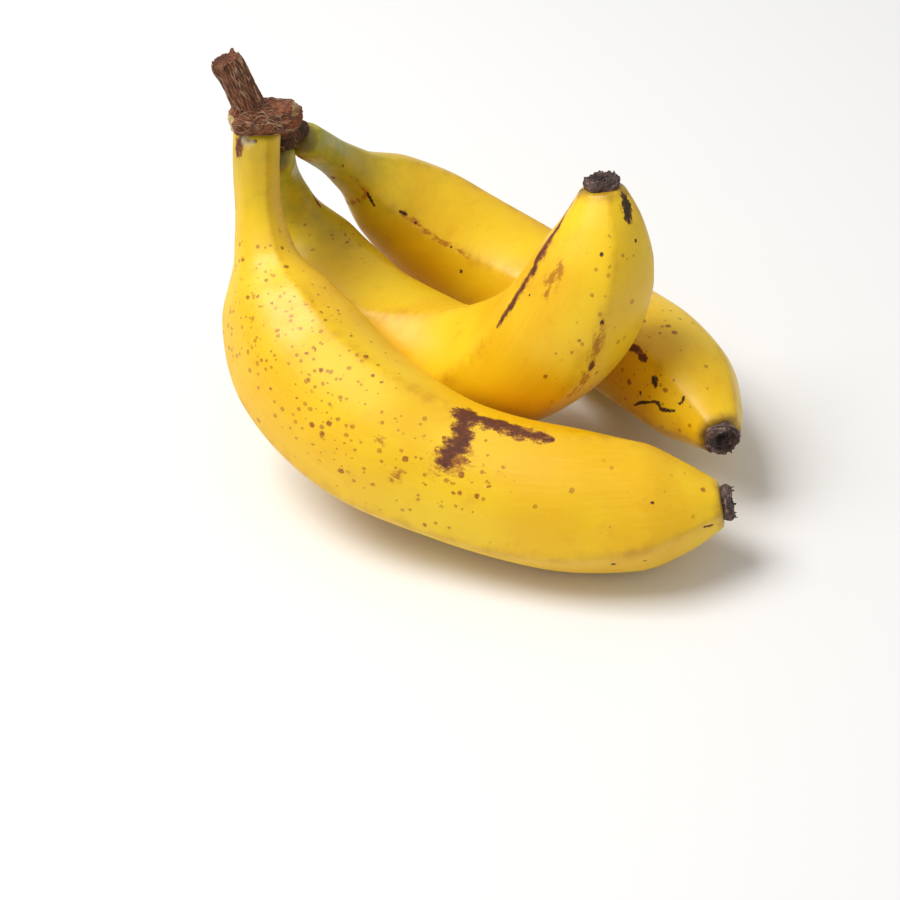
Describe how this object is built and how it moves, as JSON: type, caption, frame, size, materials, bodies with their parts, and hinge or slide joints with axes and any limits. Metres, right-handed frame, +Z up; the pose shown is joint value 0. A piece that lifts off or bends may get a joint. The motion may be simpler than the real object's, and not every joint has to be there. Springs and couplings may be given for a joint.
{
  "type": "bunch of bananas",
  "caption": "Bunch of ripe bananas joined at a dried woody crown, lying on a flat surface on their bellies, one curled upwards.",
  "frame": {"origin": "on the surface that the bunch rests on, under the middle of its bounding box", "axes": "+Z up; +X from the crown's side to the tips of the front and back bananas; +Y from the front banana to the back one"},
  "size_m": [0.1452, 0.1512, 0.1192],
  "materials": {
    "banana_peel": "smooth waxy ripe banana peel, bright yellow, with brown freckles and bruises and an olive stalk",
    "dried_blossom": "dry, rough, nearly black plant fibre",
    "dried_crown": "dry, stringy brown plant fibre with pale tan strands"
  },
  "bodies": {
    "root": {"banana_front": "banana_peel", "banana_middle": "banana_peel", "banana_back": "banana_peel", "blossom_end_front": "dried_blossom", "blossom_end_middle": "dried_blossom", "blossom_end_back": "dried_blossom", "crown": "dried_crown"}
  },
  "joints": []
}
